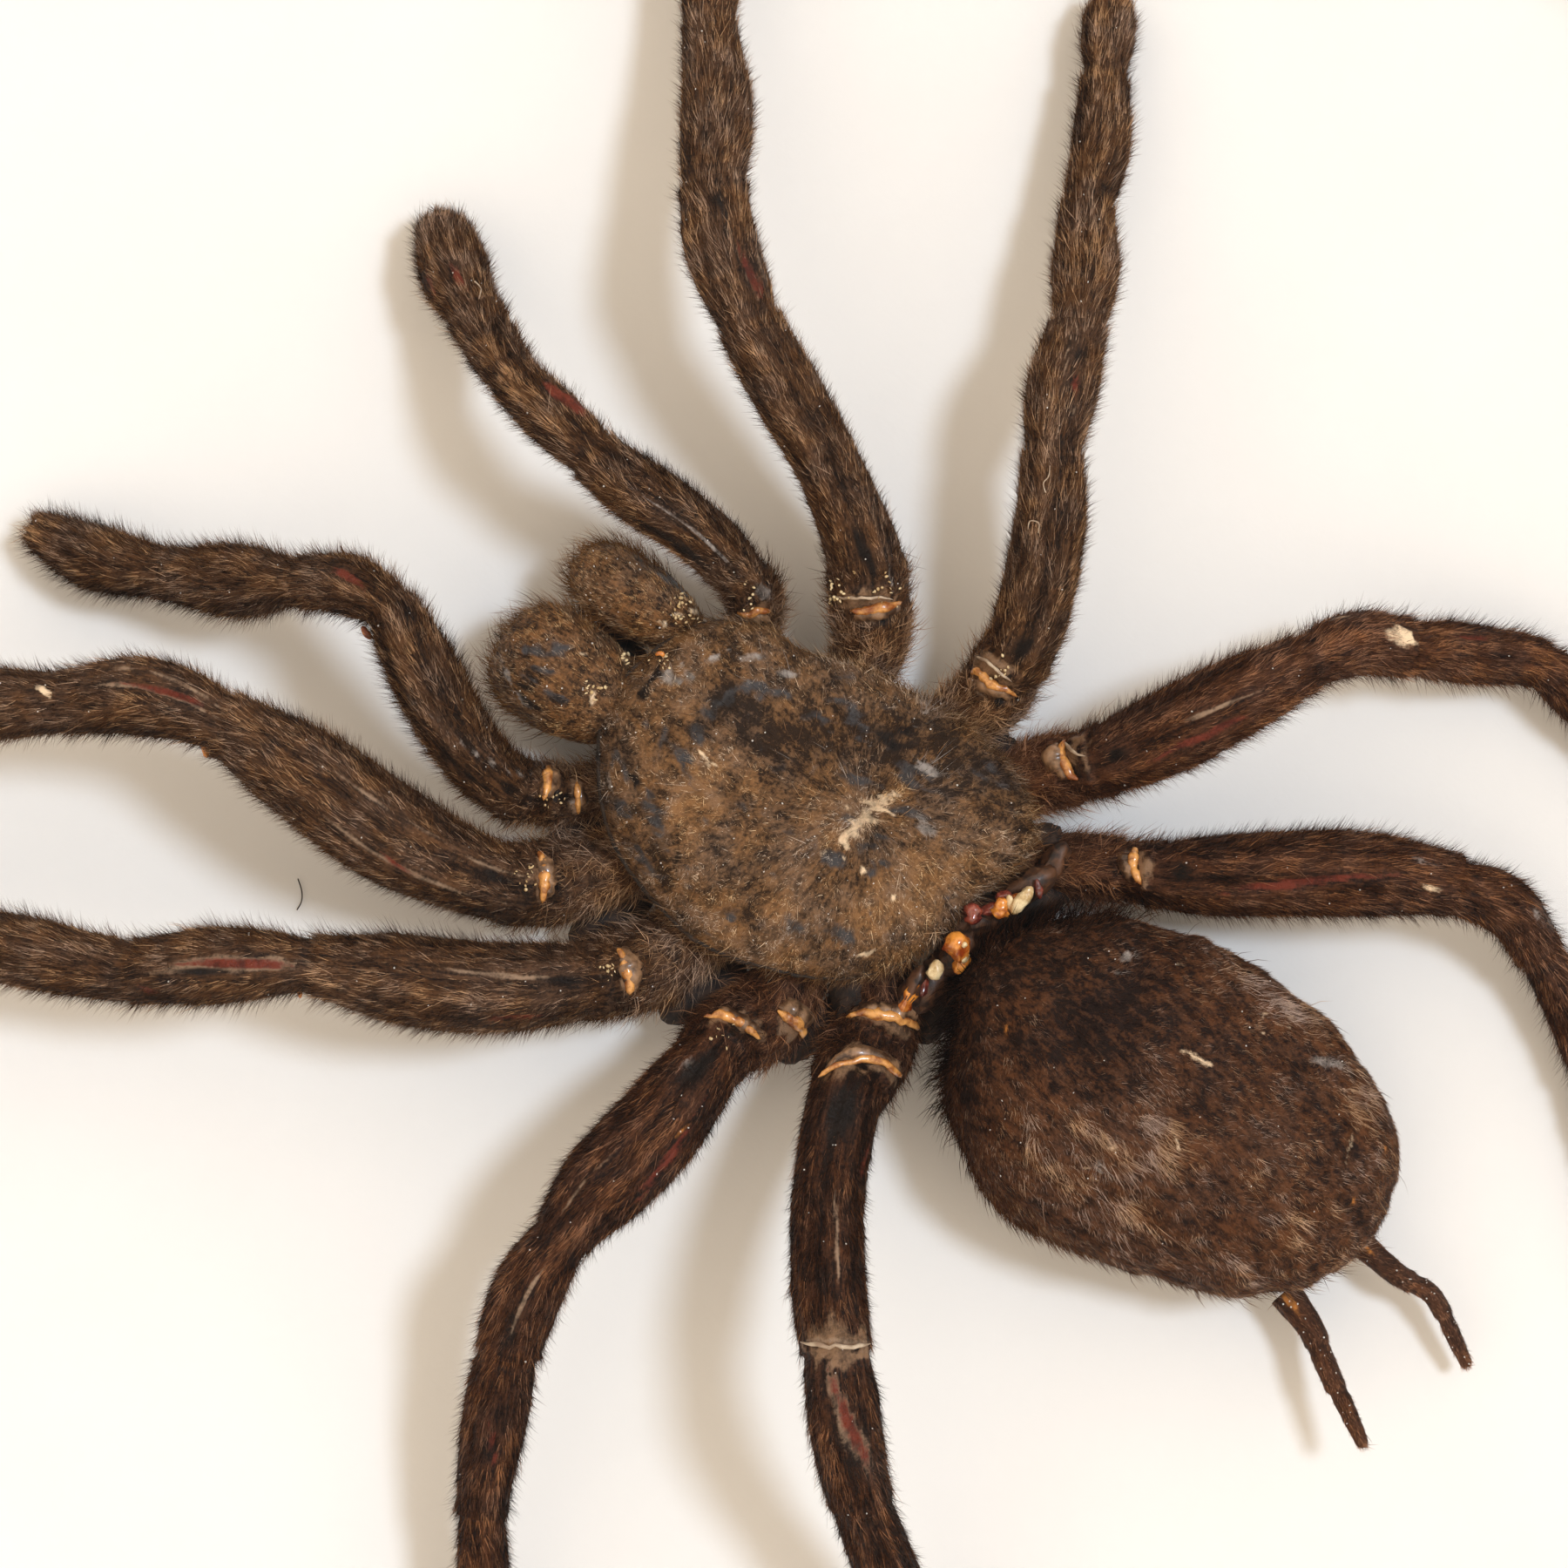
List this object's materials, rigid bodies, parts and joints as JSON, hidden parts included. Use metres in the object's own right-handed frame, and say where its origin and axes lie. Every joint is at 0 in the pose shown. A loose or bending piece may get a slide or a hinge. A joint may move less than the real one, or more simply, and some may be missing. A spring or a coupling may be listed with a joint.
{
  "type": "framed tarantula specimen",
  "caption": "Dried tarantula fixed to white card in a shallow glazed shadow-box frame that lies flat or hangs on a wall.",
  "frame": {"origin": "under the middle of the frame, on the surface that its back lies on", "axes": "+Z out through the glass, +Y along the frame's long side towards the spider's head, +X towards the spider's right side"},
  "size_m": [0.17, 0.22, 0.036],
  "materials": {
    "stained_wood": "satin",
    "glass": "polished",
    "white_card": "matte",
    "hardboard": "matte",
    "zinc_steel": "satin",
    "carapace": "matte",
    "body_fur": "matte",
    "limb_fur": "matte"
  },
  "bodies": {
    "root": {"rail_top": "stained_wood", "rail_bottom": "stained_wood", "rail_left": "stained_wood", "rail_right": "stained_wood", "glass_pane": "glass", "spacer_top": "white_card", "spacer_bottom": "white_card", "spacer_left": "white_card", "spacer_right": "white_card", "backing_card": "white_card", "back_panel": "hardboard", "tab_1": "zinc_steel", "tab_2": "zinc_steel", "tab_3": "zinc_steel", "tab_4": "zinc_steel", "tab_5": "zinc_steel", "tab_6": "zinc_steel", "sawtooth_hanger": "zinc_steel", "hanger_pin_left": "zinc_steel", "hanger_pin_right": "zinc_steel", "cephalothorax": "carapace", "abdomen": "body_fur", "chelicera_left": "carapace", "chelicera_right": "carapace", "palp_left": "limb_fur", "palp_right": "limb_fur", "leg_left_1": "limb_fur", "leg_left_2": "limb_fur", "leg_left_3": "limb_fur", "leg_left_4": "limb_fur", "leg_right_1": "limb_fur", "leg_right_2": "limb_fur", "leg_right_3": "limb_fur", "leg_right_4": "limb_fur", "spinneret_left": "limb_fur", "spinneret_right": "limb_fur"}
  },
  "joints": []
}
